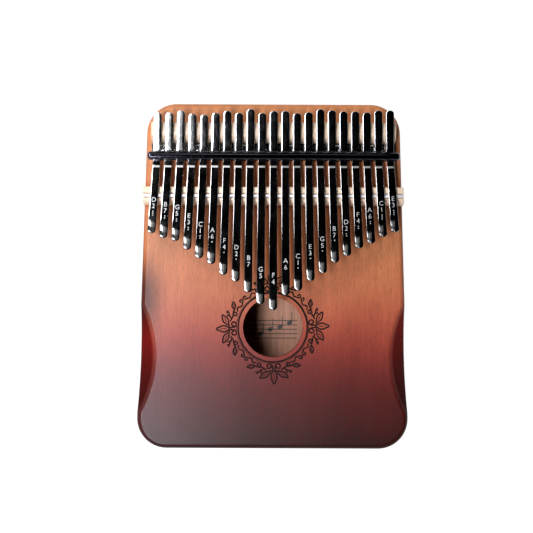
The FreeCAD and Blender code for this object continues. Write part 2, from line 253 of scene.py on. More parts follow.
def mahogany(name, carved=None):
    """Stained and lacquered mahogany; carved is the middle of a burnt ornament and its two radii."""
    material, shader = new_material(name)
    place = add_node(material, "TexCoord").outputs["Object"]
    axes = add_node(material, "SeparateXYZ", {"Vector": place}).outputs
    fibre = stretched_noise(material, 1500.0, (1.0, 0.035, 1.0), detail=5.0, roughness=0.65)
    pores = stretched_noise(material, 5200.0, (1.0, 0.06, 1.0), detail=1.0)
    bands = stretched_noise(material, 70.0, (1.0, 0.12, 1.0), detail=2.0)
    blotch = stretched_noise(material, 28.0, (1.0, 0.6, 1.0), detail=3.0)
    share = math_node(material, "MULTIPLY_ADD", axes["Y"], 1.0 / BODY_LENGTH)
    share.node.inputs[2].default_value = 0.5
    wander = math_node(material, "MULTIPLY_ADD", blotch, 0.10)
    wander.node.inputs[2].default_value = -0.05
    stain = ramp(material, math_node(material, "ADD", share, wander), STAIN, "B_SPLINE")
    colour = tinted(material, stain, ramp(material, fibre, ((0.30, grey(0.62)), (0.62, grey(1.0)))), 0.55)
    colour = tinted(material, colour, ramp(material, bands, ((0.35, grey(0.80)), (0.65, grey(1.0)))), 0.6)
    pore_mask = ramp(material, pores, ((0.58, grey(1.0)), (0.66, grey(0.0))))
    colour = tinted(material, colour, ramp(material, pores, ((0.52, grey(1.0)), (0.70, grey(0.45)))), 0.6)
    below = math_node(material, "MULTIPLY_ADD", axes["Z"], -1.0 / BELOW_FACE_DEPTH)
    below.node.inputs[2].default_value = BOARD_TOP / BELOW_FACE_DEPTH
    # Painted shade on the edges and scoops below the face: full over the foot half, fading towards the head.
    edge_shade_strength = ramp(material, share, ((0.50, grey(1.0)), (0.90, grey(0.15))))
    colour = tinted(material, colour, ramp(material, below, ((0.06, grey(1.0)), (1.0, PAINTED_EDGE_SHADE))), edge_shade_strength)
    # Painted shadow: a soft dark patch beside the left scoop, fading out over its reach.
    shadow_offset = add_node(material, "VectorMath", {0: place, 1: PAINTED_SHADOW_PLACE}, operation="SUBTRACT").outputs[0]
    shadow_offset = add_node(material, "VectorMath", {0: shadow_offset, 1: PAINTED_SHADOW_REACH}, operation="DIVIDE").outputs[0]
    reach = add_node(material, "VectorMath", {0: shadow_offset}, operation="LENGTH").outputs["Value"]
    shadow_patch = ramp(material, reach, ((0.25, PAINTED_SHADOW_COLOUR), (1.0, grey(1.0))), "EASE")
    colour = tinted(material, colour, shadow_patch, 1.0)
    rubbed = ramp(material, below, ((0.06, grey(0.25)), (0.7, grey(0.03))))
    link(material, rubbed, shader.inputs["Specular IOR Level"])
    rough = ramp(material, fibre, ((0.25, grey(0.39)), (0.70, grey(0.30))))
    if carved:
        mask = burnt_mask(material, place, axes["Z"], *carved)
        colour = blended(material, mask, colour, (*CHAR, 1.0))
        rough = blended(material, mask, rough, (0.9, 0.9, 0.9, 1.0))
    link(material, colour, shader.inputs["Base Color"])
    link(material, rough, shader.inputs["Roughness"])
    bumped(material, shader, pore_mask, 0.02 * MM, 0.15)
    return material


def burnt_mask(material, place, height, middle, inner, outer):
    """1 on everything just below the board's face, between two radii about a middle point."""
    offset = add_node(material, "VectorMath", {0: place, 1: middle}, operation="SUBTRACT").outputs[0]
    flat = add_node(material, "VectorMath", {0: offset, 1: (1.0, 1.0, 0.0)}, operation="MULTIPLY").outputs[0]
    radius = add_node(material, "VectorMath", {0: flat}, operation="LENGTH").outputs["Value"]
    outside = math_node(material, "GREATER_THAN", radius, inner)
    inside = math_node(material, "LESS_THAN", radius, outer)
    sunk = math_node(material, "LESS_THAN", height, BOARD_TOP - CHAR_TOP)
    near_face = math_node(material, "GREATER_THAN", height, BOARD_TOP - CHAR_BOTTOM)
    both = math_node(material, "MULTIPLY", math_node(material, "MULTIPLY", outside, inside), sunk)
    return math_node(material, "MULTIPLY", both, near_face)


mahogany_box = mahogany("lacquered_mahogany")
print("stain stops:", len(STAIN))

# %% [markdown]
# ## Maple and raw wood
# The bridges are clear-lacquered maple with faint lines along their length. Inside the box the wood
# is bare, so it has no lacquer coat and is rougher. One recipe serves for all three, with its lines
# along the given axis.

# %% Maple and raw wood
def plain_wood(name, light, dark, along, roughness, coat):
    """Wood with lines along one axis, between a light and a dark colour."""
    material, shader = new_material(name, Coat_Weight=coat, Coat_Roughness=0.3)
    stretch = tuple(0.04 if axis == along else 1.0 for axis in "XYZ")
    lines = stretched_noise(material, 1100.0, stretch, detail=4.0, roughness=0.6)
    flecks = stretched_noise(material, 420.0, stretch, detail=2.0)
    colour = ramp(material, lines, ((0.32, dark), (0.60, light)))
    colour = tinted(material, colour, ramp(material, flecks, ((0.35, grey(0.82)), (0.55, grey(1.0)))), 0.6)
    link(material, colour, shader.inputs["Base Color"])
    rough = ramp(material, lines, ((0.3, grey(roughness + 0.08)), (0.7, grey(roughness))))
    link(material, rough, shader.inputs["Roughness"])
    bumped(material, shader, lines, 0.02 * MM, 0.3)
    return material


maple = plain_wood("clear_maple", (0.68, 0.51, 0.365), (0.56, 0.405, 0.275), "X", 0.42, 0.2)
raw_wood = plain_wood("raw_wood", (0.46, 0.22, 0.135), (0.34, 0.15, 0.085), "Y", 0.68, 0.0)
raw_brace = plain_wood("raw_brace", (0.74, 0.57, 0.38), (0.62, 0.45, 0.28), "X", 0.7, 0.0)
print("woods made:", [wood.name for wood in (maple, raw_wood, raw_brace)])

# %% [markdown]
# ## Steel and chrome
# The tines are polished spring steel: a nearly perfect mirror with fine brushing along its length,
# which is why they look black under a dark ceiling. Thumbs and the tuning hammer dull their two ends.
# The rod is only drawn, so it scatters more light and looks white. The marks on the tines are etched,
# which makes the steel matt.

# %% Steel and chrome
DULLED_GREY = (0.28, 0.28, 0.28, 1.0)


def steel(name, colour, smooth, rough, along="Y", scratch_depth=0.003, dulled=0.0):
    """Metal brushed along one axis, from its smoothest to its roughest, dulled where it is handled."""
    material, shader = new_material(name, Metallic=1.0)
    stretch = tuple(0.02 if axis == along else 1.0 for axis in "XYZ")
    brushing = stretched_noise(material, 5200.0, stretch, detail=3.0, roughness=0.7)
    wear = stretched_noise(material, 320.0, (1.0, 0.5, 1.0), detail=5.0, roughness=0.65)
    dark = tuple(0.86 * part for part in colour)
    tone = ramp(material, brushing, ((0.3, dark), (0.6, colour)))
    mixed = math_node(material, "MULTIPLY", brushing, wear)
    polish = ramp(material, mixed, ((0.18, grey(smooth)), (0.42, grey(rough))))
    if dulled:
        handled = add_node(material, "Attribute", attribute_name="handled").outputs["Fac"]
        tone = tinted(material, tone, DULLED_GREY, handled)
        duller = math_node(material, "MULTIPLY_ADD", handled, dulled)
        link(material, polish, duller.node.inputs[2])
        polish = duller
    link(material, tone, shader.inputs["Base Color"])
    link(material, polish, shader.inputs["Roughness"])
    bumped(material, shader, brushing, scratch_depth * MM, 0.25)
    return material


spring_steel = steel("polished_spring_steel", (0.74, 0.74, 0.75), 0.04, 0.12, dulled=0.05)
bar_chrome = steel("black_chrome", (0.075, 0.07, 0.09), 0.05, 0.12, along="X")
rod_steel = steel("drawn_rod_steel", (0.96, 0.96, 0.96), 0.42, 0.52, along="X")
plate_nickel = steel("bracket_nickel", (0.78, 0.77, 0.74), 0.12, 0.24, along="X")
screw_nickel = steel("screw_nickel", (0.80, 0.80, 0.80), 0.10, 0.22)
etched_steel = steel("etched_steel", (0.52, 0.52, 0.52), 0.50, 0.65)
print("materials so far:", len(bpy.data.materials))

# %% [markdown]
# ## Strokes of the rosette
# A laser burns a leafy rosette round the sound hole. It has four lobes, each with a mirrored pair of
# curls, leaves, sprigs and vine about a pointed leaf. So only half a lobe is drawn, as short lists of
# points in millimetres from the middle of the hole, and the rest is turned and mirrored from it.

# %% Strokes of the rosette
SOUND_HOLE_Y = -27.3 * MM
SOUND_HOLE = Vector((0.0, SOUND_HOLE_Y, BOARD_TOP))
RING_RADIUS = 18.5
ROSETTE_RADIUS = 30.1
ROSETTE_TURN_DEG = 1.8
LOBES = 4


def polar(radius, degrees):
    """Point at a radius and an angle from the lobe's middle line."""
    angle = math.radians(degrees)
    return (radius * math.cos(angle), radius * math.sin(angle))


def leaf(base, tip, width, fullness=0.5):
    """Pointed leaf outline from its base round its tip and back, and its vein."""
    start, end = Vector(base), Vector(tip)
    along = end - start
    across = Vector((-along.y, along.x)).normalized() * width / 2
    middle = start + along * fullness
    near, far = start + along * 0.22, start + along * 0.80
    outline = [start, near + across * 0.72, middle + across, far + across * 0.55, end]
    outline += [far - across * 0.55, middle - across, near - across * 0.72, start]
    vein = [start + along * 0.25, start + along * 0.70]
    return [outline, vein]


def curl(middle, radius, start_deg, turn_deg, steps=11):
    """Spiral that winds in from its outside towards its middle."""
    points = []
    for step in range(steps):
        share = step / (steps - 1)
        angle = math.radians(start_deg + turn_deg * share)
        reach = radius * (1.0 - 0.55 * share)
        points.append((middle[0] + reach * math.cos(angle), middle[1] + reach * math.sin(angle)))
    return points


def middle_strokes():
    """Strokes in mm along a lobe's middle line, with x outwards from the hole and y sideways."""
    outline = [(23.3, 0.0), (24.8, 1.25), (26.6, 1.6), (28.6, 0.85), (ROSETTE_RADIUS, 0.0)]
    outline += [(x, -y) for x, y in reversed(outline[:-1])]
    return {"leaf": [outline], "vein": [[(24.6, 0.0), (28.0, 0.0)]]}


def side_strokes():
    """Strokes on one side of a lobe, sorted by kind so that no two of a kind cross."""
    side_leaf = leaf((23.7, 2.2), (26.8, 7.4), 2.7)
    bud_leaf = leaf((20.4, 10.4), (20.7, 14.2), 1.9)
    return {
        "leaf": [side_leaf[0], bud_leaf[0]],
        "curl": [
            [(23.1, 0.55), (22.3, 0.55)] + curl((20.9, 2.3), 1.65, 285, -400, 14),
            [(22.6, 3.9), (21.9, 5.2), (21.1, 6.6)] + curl((19.9, 7.6), 1.2, 25, 360, 13),
            [polar(20.4, 26.0), polar(21.4, 29.0), polar(21.1, 32.5)]
            + [polar(20.2, 35.5), polar(20.5, 38.8)]
            + curl(polar(21.95, 41.3), 1.05, 225, -330, 12),
        ],
        "sprig": [[(22.2, 5.6), (22.8, 6.9), (23.2, 8.0)] + curl((23.7, 9.0), 0.6, 240, 290)],
        "branch": [
            [(22.9, 6.9), (23.7, 6.9), (24.5, 7.3)],
            [(23.3, 1.0), (23.3, 1.6), (23.5, 2.0)],
            [(20.3, 10.2), (20.5, 9.5), (21.1, 9.0)],
        ],
        "vein": [side_leaf[1], bud_leaf[1]],
    }


print("strokes on one side of a lobe:", {kind: len(lines) for kind, lines in side_strokes().items()})

# %% [markdown]
# ## Tubes along the strokes
# Each burnt line is a groove under a millimetre wide. A groove is cut with a thin round tube laid in
# the face of the board, and a tube is a bevelled curve through a few points. A Boolean needs meshes,
# so the curve is turned into one. Its seams are merged and its faces turned outwards, because an open
# tube can't be taken away.

# %% Tubes along the strokes
def tube_curve(name, lines, radius):
    """Curve object with a smooth round tube along each line of points, in metres."""
    data = bpy.data.curves.new(name, "CURVE")
    data.dimensions = "3D"
    data.bevel_depth = radius
    data.bevel_resolution = 1
    data.resolution_u = 4
    data.use_fill_caps = True
    for points, closed in lines:
        spline = data.splines.new("BEZIER")
        spline.bezier_points.add(len(points) - 1)
        spline.use_cyclic_u = closed
        for knot, point in zip(spline.bezier_points, points):
            knot.co = point
            knot.handle_left_type = "AUTO"
            knot.handle_right_type = "AUTO"
    made = bpy.data.objects.new(name, data)
    bpy.context.scene.collection.objects.link(made)
    return made


def curve_to_mesh(curve_object):
    """The same object as a mesh object, with the curve removed."""
    graph = bpy.context.evaluated_depsgraph_get()
    mesh = bpy.data.meshes.new_from_object(curve_object.evaluated_get(graph))
    name = curve_object.name
    data = curve_object.data
    bpy.data.objects.remove(curve_object)
    bpy.data.curves.remove(data)
    bm = bmesh.new()
    bm.from_mesh(mesh)
    bmesh.ops.remove_doubles(bm, verts=bm.verts, dist=0.001 * MM)
    bmesh.ops.recalc_face_normals(bm, faces=bm.faces)
    bm.to_mesh(mesh)
    bm.free()
    made = bpy.data.objects.new(name, mesh)
    bpy.context.scene.collection.objects.link(made)
    return made


print("strokes of the middle leaf:", sum(len(lines) for lines in middle_strokes().values()))

# %% [markdown]
# ## Lines round the hole
# The half lobe becomes the whole rosette by turning it in quarters and mirroring its sides. Closed
# outlines stay closed, so that their tubes have no ends. A ring is a closed line too, through a few
# points of a circle.

# %% Lines round the hole
RING_STEPS = 16


def rosette_lines(strokes, side=1):
    """The strokes repeated in four lobes, on one side (1 or -1) of each lobe's middle line."""
    lines = []
    for lobe in range(LOBES):
        turn = Matrix.Rotation(math.radians(360.0 / LOBES * lobe + ROSETTE_TURN_DEG), 2)
        for stroke in strokes:
            flat = [turn @ Vector((x, side * y)) * MM for x, y in stroke]
            closed = flat[0] == flat[-1]
            points = [SOUND_HOLE + Vector((*spot, 0.0)) for spot in flat]
            lines.append((points[:-1] if closed else points, closed))
    return lines


def ring_line(radius, shift=(0.0, 0.0)):
    """Closed circle round the sound hole."""
    points = []
    for step in range(RING_STEPS):
        x, y = polar(radius, 360.0 / RING_STEPS * step)
        points.append(SOUND_HOLE + Vector((x + shift[0], y + shift[1], 0.0)) * MM)
    return points


print("points on a ring:", len(ring_line(RING_RADIUS)))

# %% [markdown]
# ## Helpers for cutting
# A Boolean rebuilds each whole face that it meets, and the board's top is one large face, where long
# thin triangles would spoil the shading. So the top is first divided into small squares round the
# hole, and every cut stays local.

# %% Helpers for cutting
TOP_TOLERANCE = 0.01 * MM


def cut_away(target, cutter):
    """Takes the cutter out of the target and removes the cutter."""
    cut = target.modifiers.new("groove", "BOOLEAN")
    cut.operation = "DIFFERENCE"
    cut.solver = "MANIFOLD"
    cut.object = cutter
    graph = bpy.context.evaluated_depsgraph_get()
    mesh = bpy.data.meshes.new_from_object(target.evaluated_get(graph))
    target.modifiers.clear()
    target.data = mesh
    data = cutter.data
    bpy.data.objects.remove(cutter)
    bpy.data.meshes.remove(data)
    return len(mesh.polygons)


def divide_face(bm, middle, reach, step):
    """Divides the board's face round the hole into small squares, so that each cut stays local."""
    count = round(2 * reach / step)
    for axis in (0, 1):
        normal = Vector((axis == 0, axis == 1, 0.0))
        for value in spread(middle[axis] - reach, middle[axis] + reach, count):
            level = [face for face in bm.faces if face.normal.z > 0.9999]
            faces = [face for face in level if face.calc_center_median().z > BOARD_TOP - TOP_TOLERANCE]
            around = {edge for face in faces for edge in face.edges}
            corners = {vertex for face in faces for vertex in face.verts}
            geometry = [*faces, *around, *corners]
            bmesh.ops.bisect_plane(bm, geom=geometry, plane_co=normal * value, plane_no=normal, dist=1e-7)


board_faces = merged_copy("soundboard")
print("faces of the plain board:", len(board_faces.faces))
board_faces.free()

# %% [markdown]
# ## The carved soundboard
# A ring goes round the hole with a fine companion line beside it, and the rosette grows outside it.
# Lines that cross are cut one kind after another, so that no cutter runs into itself. The grooves are
# real ones in the mesh, and the burnt colour follows their depth.

# %% Cut the soundboard
LINE_RADIUS = 0.42
VEIN_RADIUS = 0.22
RING_LINE_RADIUS = 0.46
COMPANION_RADIUS = 0.15
SQUARE = 2.6 * MM
carving_zone = (tuple(SOUND_HOLE), (RING_RADIUS - 0.6) * MM, (ROSETTE_RADIUS + 1.0) * MM)
mahogany_face = mahogany("carved_mahogany", carving_zone)
blank = merged_copy("soundboard")
blank.normal_update()
divide_face(blank, SOUND_HOLE, (ROSETTE_RADIUS + 1.5) * MM, SQUARE)
board = piece_from(blank, "soundboard_carved", "box", [mahogany_face], ["soundboard"])
rings = [
    tube_curve("ring", [(ring_line(RING_RADIUS), True)], RING_LINE_RADIUS * MM),
    tube_curve(
        "ring_companion", [(ring_line(RING_RADIUS + 0.75, (-0.14, -0.14)), True)], COMPANION_RADIUS * MM
    ),
]
sets = [(kind + "_middle", rosette_lines(strokes)) for kind, strokes in middle_strokes().items()]
for side in (1, -1):
    sets += [(f"{kind}_side", rosette_lines(strokes, side)) for kind, strokes in side_strokes().items()]
kinds = []
for name, lines in sets:
    radius = VEIN_RADIUS if name.startswith("vein") else LINE_RADIUS
    kinds.append(tube_curve(name, lines, radius * MM))
for cutter in rings + kinds:
    faces = cut_away(board, curve_to_mesh(cutter))
    print("faces after the cut:", faces)
shade(board.data, 30.0, (0.0, 0.0, 1.0))

# %% [markdown]
# ## The rest of the box
# The side walls and the back plate keep their CAD meshes. Their outsides are lacquered like the
# soundboard, and their insides are bare wood, so the faces that look inwards get the raw material.
# The rod, the bracket, the bar and the screws are plain turned or stamped parts, so they keep their
# CAD meshes too and only get a metal.

# %% The rest of the box
def paint_inside(node_name, outside, inside, is_inside):
    """Two materials on a CAD node: one for its outer faces and one for those that a test picks."""
    mesh = frame["nodes"][node_name].data
    mesh.materials.clear()
    mesh.materials.append(outside)
    mesh.materials.append(inside)
    for face in mesh.polygons:
        face.material_index = int(is_inside(face))
    return sum(face.material_index for face in mesh.polygons)


def wears(node_name, material):
    """One material all over a CAD node."""
    mesh = frame["nodes"][node_name].data
    mesh.materials.clear()
    mesh.materials.append(material)


back_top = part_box("back_plate")[1].z


def faces_up_inside(face):
    """Whether a face of the back plate is its upper one, inside the box."""
    return face.normal.z > 0.9 and face.center.z > back_top - 0.1 * MM


def faces_the_middle(face):
    """Whether a wall's face looks towards the middle of the box."""
    return abs(face.normal.z) < 0.2 and face.normal.x * face.center.x + face.normal.y * face.center.y < 0.0


print("raw faces of the back:", paint_inside("back_plate", mahogany_box, raw_wood, faces_up_inside))
print("raw faces of the rim:", paint_inside("rim", mahogany_box, raw_wood, faces_the_middle))
wears("screw_block", raw_brace)
wears("bridge_rod", rod_steel)
wears("bar_bracket", plate_nickel)
wears("pressure_bar", bar_chrome)
wears("bracket_screws", screw_nickel)

# %% [markdown]
# ## The bridges
# Both bridges are sticks of maple whose edges are broken with sandpaper. A copy of the solid's
# surface gets a small bevel on every edge that turns sharply, and keeps its round crest smooth.

# %% The bridges
SANDED = 0.35 * MM


def sanded(node_name):
    """Maple copy of a bridge with its sharp edges rounded."""
    bm = merged_copy(node_name)
    corners = [edge for edge in bm.edges if edge.calc_face_angle(0.0) > math.radians(40.0)]
    bmesh.ops.bevel(
        bm, geom=corners, offset=SANDED, offset_type="OFFSET", segments=3, profile=0.5,
        affect="EDGES", material=-1,
    )
    piece = piece_from(bm, node_name + "_sanded", "box", [maple], [node_name])
    shade(piece.data, 35.0)
    return len(piece.data.polygons)


print("faces of the bridges:", [sanded("front_bridge"), sanded("rear_bridge")])

# %% [markdown]
# ## Outline and bends of a tine
# Each tine is one strip of spring steel: flat under the bar, bent up on both sides, with a crease in
# front of the bar, a round tail and a tip that curls up. It is easiest to make the strip flat and
# then bend it, so this step works out, for any distance from the bar, the width of the strip and the
# slope and height of its underside. The places come from the tine's own solids and joints, and the
# height meets the solid where the tine flexes.

# %% Outline and bends of a tine
THICKNESS = 1.1 * MM
TAIL_WIDTH = 4.4 * MM
WAIST_WIDTH = 3.9 * MM
TIP_WIDTH = 4.3 * MM
END_RADIUS = 1.9 * MM
EDGE_ROUND = 0.18 * MM
HALF_FLAT = 2.5 * MM
TAIL_CROWN = 0.10 * MM
TIP_CROWN = 0.25 * MM
CURL_LENGTH = 8.7 * MM
CURL_DEG = 15.5
CREASE_AT = 5.0 * MM
CREASE_LENGTH = 0.9 * MM
CREASE_DEG = 16.0
CREASE_EASE = 0.35 * MM
REAR_EASE = 1.2 * MM
TAIL_EASE = 4.0 * MM
TAIL_WEAR = 0.4
END_STEP_DEG = 15
SLOPE_STEP = 0.05 * MM
bar_low, bar_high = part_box("pressure_bar")
rod_low, rod_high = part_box("bridge_rod")
BAR_Y = (bar_low.y + bar_high.y) / 2
ROD_Y = (rod_low.y + rod_high.y) / 2


def eased(value, start, end):
    """Smooth step from 0 to 1 between two values."""
    share = min(1.0, max(0.0, (value - start) / (end - start)))
    return share * share * (3.0 - 2.0 * share)


class Tine:
    """Places and slopes of one tine, measured on its CAD nodes and joints."""

    def __init__(self, number):
        self.label = f"tine_{number:02d}"
        shank_low, shank_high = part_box(self.label + "_shank")
        tongue_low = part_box(self.label + "_tongue")[0]
        flex = joints[self.label + "_flex"]
        slide = Vector(joints[self.label + "_tuning"]["axis"])
        self.pivot = Vector(flex["pos_m"])
        self.along = Vector((slide.x, slide.y, 0.0)).normalized()
        self.across = Vector((-self.along.y, self.along.x, 0.0))
        self.seat = shank_low.z
        self.pivot_u = (BAR_Y - self.pivot.y) / -self.along.y
        self.origin = self.pivot - self.along * self.pivot_u
        self.tip = (BAR_Y - tongue_low.y) / -self.along.y
        self.tail = (shank_high.y - BAR_Y) / -self.along.y
        self.rod = (BAR_Y - ROD_Y) / -self.along.y
        self.front = math.atan2(self.pivot.z - self.seat - THICKNESS / 2, self.pivot_u - HALF_FLAT)
        self.rear = math.atan2(shank_high.z - self.seat - THICKNESS, self.tail - HALF_FLAT)
        self.rows = self.row_places()
        self.heights = self.row_heights()

    def row_places(self):
        """Distances from the bar, towards the tip, at which the strip has a row of points."""
        turns = range(END_STEP_DEG, 91, END_STEP_DEG)
        ends = [END_RADIUS * (1.0 - math.cos(math.radians(angle))) for angle in turns]
        ends = [place - ends[0] for place in ends]
        rows = [-self.tail + place for place in ends]
        rows += spread(-self.tail + END_RADIUS, -HALF_FLAT - 1.5 * MM, 5)[1:]
        rows += spread(-HALF_FLAT - 1.5 * MM, -HALF_FLAT + 1.5 * MM, 5)[1:]
        rows += spread(-HALF_FLAT + 1.5 * MM, CREASE_AT - 0.4 * MM, 4)[1:]
        rows += spread(CREASE_AT - 0.4 * MM, CREASE_AT + CREASE_LENGTH + 0.4 * MM, 8)[1:]
        curl_start = self.tip - CURL_LENGTH
        rows += spread(CREASE_AT + CREASE_LENGTH + 0.4 * MM, curl_start, 16)[1:]
        rows += spread(curl_start, self.tip - END_RADIUS, 10)[1:]
        rows += [self.tip - place for place in reversed(ends)]
        return sorted(set(round(row, 7) for row in rows))

    def slope(self, u):
        """Slope of the underside, in radians, at a distance from the bar."""
        rear = -self.rear * (1.0 - eased(u, -HALF_FLAT - REAR_EASE, -HALF_FLAT + REAR_EASE))
        crease_end = CREASE_AT + CREASE_LENGTH
        crease = math.radians(CREASE_DEG) * eased(u, CREASE_AT - CREASE_EASE, CREASE_AT)
        crease *= 1.0 - eased(u, crease_end, crease_end + CREASE_EASE)
        gentle = self.front_after_crease * eased(u, CREASE_AT, crease_end)
        tip = math.radians(CURL_DEG) * eased(u, self.tip - CURL_LENGTH, self.tip - 0.2 * CURL_LENGTH)
        return rear + max(crease, gentle) + tip

    def rise(self, start, end):
        """Height gained between two distances from the bar."""
        steps = 1 + int(abs(end - start) / SLOPE_STEP)
        step = (end - start) / steps
        return sum(math.tan(self.slope(start + (index + 0.5) * step)) * step for index in range(steps))

    def row_heights(self):
        """Height of the underside at every row, meeting the CAD tine at its flex point."""
        goal = math.tan(self.front) * (self.pivot_u - HALF_FLAT)
        self.front_after_crease = self.front
        for _ in range(6):
            gained = self.rise(0.0, self.pivot_u)
            self.front_after_crease += (goal - gained) / (self.pivot_u - CREASE_AT) * 0.9
        heights = {}
        ahead = [row for row in self.rows if row >= 0.0]
        behind = [row for row in reversed(self.rows) if row < 0.0]
        for rows in (ahead, behind):
            last, height = 0.0, self.seat
            for row in rows:
                height += self.rise(last, row)
                heights[row] = height
                last = row
        return [heights[row] for row in self.rows]

    def half_width(self, u):
        """Half the strip's width at a distance from the bar, with round ends."""
        if u < 0.0:
            width = WAIST_WIDTH + (TAIL_WIDTH - WAIST_WIDTH) * -u / self.tail
        else:
            width = WAIST_WIDTH + (TIP_WIDTH - WAIST_WIDTH) * u / self.tip
        edge = min(u + self.tail, self.tip - u) + END_RADIUS * (1.0 - math.cos(math.radians(END_STEP_DEG)))
        if edge < END_RADIUS:
            width *= math.sqrt(1.0 - (1.0 - edge / END_RADIUS) ** 2)
        return width / 2

    def carried(self, x, u, lift):
        """Place in the frame of a point across, along and above the underside of the strip."""
        index = max(0, min(len(self.rows) - 2, sum(row <= u for row in self.rows) - 1))
        share = (u - self.rows[index]) / (self.rows[index + 1] - self.rows[index])
        height = self.heights[index] + share * (self.heights[index + 1] - self.heights[index])
        slope = self.slope(u)
        half = max(self.half_width(u), 0.1 * MM)
        at_tail = 1.0 - eased(u, -HALF_FLAT - TAIL_EASE, -HALF_FLAT)
        at_tip = eased(u, self.tip - CURL_LENGTH, self.tip - 0.5 * CURL_LENGTH)
        domed = TAIL_CROWN * at_tail * abs(x / half) ** 4 + TIP_CROWN * at_tip * (x / half) ** 2
        lift -= domed * min(1.0, lift / THICKNESS)
        spot = self.origin + self.along * (u - lift * math.sin(slope)) + self.across * x
        return Vector((spot.x, spot.y, height + lift * math.cos(slope)))

    def handled(self, u):
        """How much the steel is dulled: 1 at the tip by thumbs, less at the tail by the tuning hammer."""
        tip = eased(u, self.tip - 1.2 * CURL_LENGTH, self.tip - 0.6 * CURL_LENGTH)
        tail = TAIL_WEAR * (1.0 - eased(u, -HALF_FLAT - TAIL_EASE, -HALF_FLAT))
        return max(tip, tail)


tines = [Tine(number) for number in range(1, TINE_COUNT + 1)]
print("free lengths in mm:", [round((tine.tip - tine.rod) / MM, 1) for tine in tines])

# %% [markdown]
# ## Note marks
# Every tine is etched near its tip with its note: a letter, the number of the note in the scale, and
# a dot for each octave above the lowest. The letters are text turned into thin meshes, the dots are
# small discs, and both are carried onto the curved tine as its points are, so they bend with it.

# %% Note marks
LOW_NOTE_TINE = 11
SCALE = ("C", "D", "E", "F", "G", "A", "B")
LOWEST_STEP = 3
LETTER_HEIGHT = 3.5 * MM
MARK_LIFT = 0.012 * MM
MARK_THICKNESS = 0.02 * MM
MARK_BEHIND_CURL = 9.0 * MM
MARK_PITCH = 3.4 * MM
DOT_RADIUS = 0.32 * MM
DOT_PITCH = 1.1 * MM
PLAYED_ORDER = [LOW_NOTE_TINE]
for away in range(1, LOW_NOTE_TINE):
    PLAYED_ORDER += [LOW_NOTE_TINE - away, LOW_NOTE_TINE + away]


def note_of(number):
    """Letter, place in the scale and octave of a tine, counted up from the longest."""
    step = PLAYED_ORDER.index(number) + LOWEST_STEP
    return SCALE[step % 7], step % 7 + 1, step // 7


def letter_mesh(text):
    """Flat mesh of one character, a letter height tall, centred on the origin."""
    data = bpy.data.curves.new("mark", "FONT")
    data.body = text
    data.size = LETTER_HEIGHT
    data.resolution_u = 3
    data.extrude = MARK_THICKNESS / 2
    data.align_x = "CENTER"
    data.align_y = "CENTER"
    made = bpy.data.objects.new("mark", data)
    bpy.context.scene.collection.objects.link(made)
    bpy.context.view_layer.update()
    mesh = bpy.data.meshes.new_from_object(made.evaluated_get(bpy.context.evaluated_depsgraph_get()))
    bpy.data.objects.remove(made)
    bpy.data.curves.remove(data)
    return mesh


glyphs = {text: letter_mesh(text) for text in (*SCALE, *"1234567")}


def mark_mesh(tine, number):
    """Mesh of a tine's letter, number and octave dots, on the steel just behind the curled tip."""
    letter, degree, octave = note_of(number)
    bm = bmesh.new()
    place = tine.tip - CURL_LENGTH - MARK_BEHIND_CURL
    for text in (letter, str(degree)):
        before = len(bm.verts)
        bm.from_mesh(glyphs[text])
        bm.verts.ensure_lookup_table()
        for vertex in bm.verts[before:]:
            lift = THICKNESS + MARK_LIFT + vertex.co.z
            vertex.co = tine.carried(vertex.co.x, place - vertex.co.y, lift)
        place += MARK_PITCH
    for dot in range(octave):
        made = bmesh.ops.create_circle(bm, cap_ends=True, segments=10, radius=DOT_RADIUS)["verts"]
        for vertex in made:
            u = place - 0.7 * MM + DOT_PITCH * dot - vertex.co.y
            vertex.co = tine.carried(vertex.co.x, u, THICKNESS + MARK_LIFT + MARK_THICKNESS)
    for face in bm.faces:
        face.material_index = 1
    made = bpy.data.meshes.new("mark")
    bm.to_mesh(made)
    bm.free()
    return made


print("notes:", [note_of(number)[0] + str(note_of(number)[1]) for number in range(1, TINE_COUNT + 1)])

# %% [markdown]
# ## The tines
# The strip starts as a flat grid, one row for each place along it. The rows are moved to the outline
# of a round-ended strip, Solidify's operator gives the steel its thickness, a bevel rounds its long
# edges, and each point is then carried onto the tine's bent underside. An attribute remembers how
# much each point is handled. The finished mesh takes the place of the shank and the tongue, as one
# unbroken strip.

# %% Build the tines
COLUMNS = 10


def strip_of(tine):
    """Flat round-ended strip with rounded edges, as points (across, along, up), in metres."""
    bm = bmesh.new()
    rows = len(tine.rows)
    bmesh.ops.create_grid(bm, x_segments=COLUMNS, y_segments=rows - 1, size=1.0)
    for vertex in bm.verts:
        row = round((vertex.co.y + 1.0) / 2.0 * (rows - 1))
        u = tine.rows[row]
        vertex.co = Vector((vertex.co.x * tine.half_width(u), u, 0.0))
    bmesh.ops.solidify(bm, geom=bm.faces, thickness=-THICKNESS)
    bmesh.ops.recalc_face_normals(bm, faces=bm.faces)
    low = min(vertex.co.z for vertex in bm.verts)
    bmesh.ops.translate(bm, verts=bm.verts, vec=(0.0, 0.0, -low))
    corners = [edge for edge in bm.edges if edge.calc_face_angle(0.0) > math.radians(60.0)]
    bmesh.ops.bevel(
        bm, geom=corners, offset=EDGE_ROUND, offset_type="OFFSET", segments=3, profile=0.5,
        affect="EDGES", material=-1,
    )
    return bm


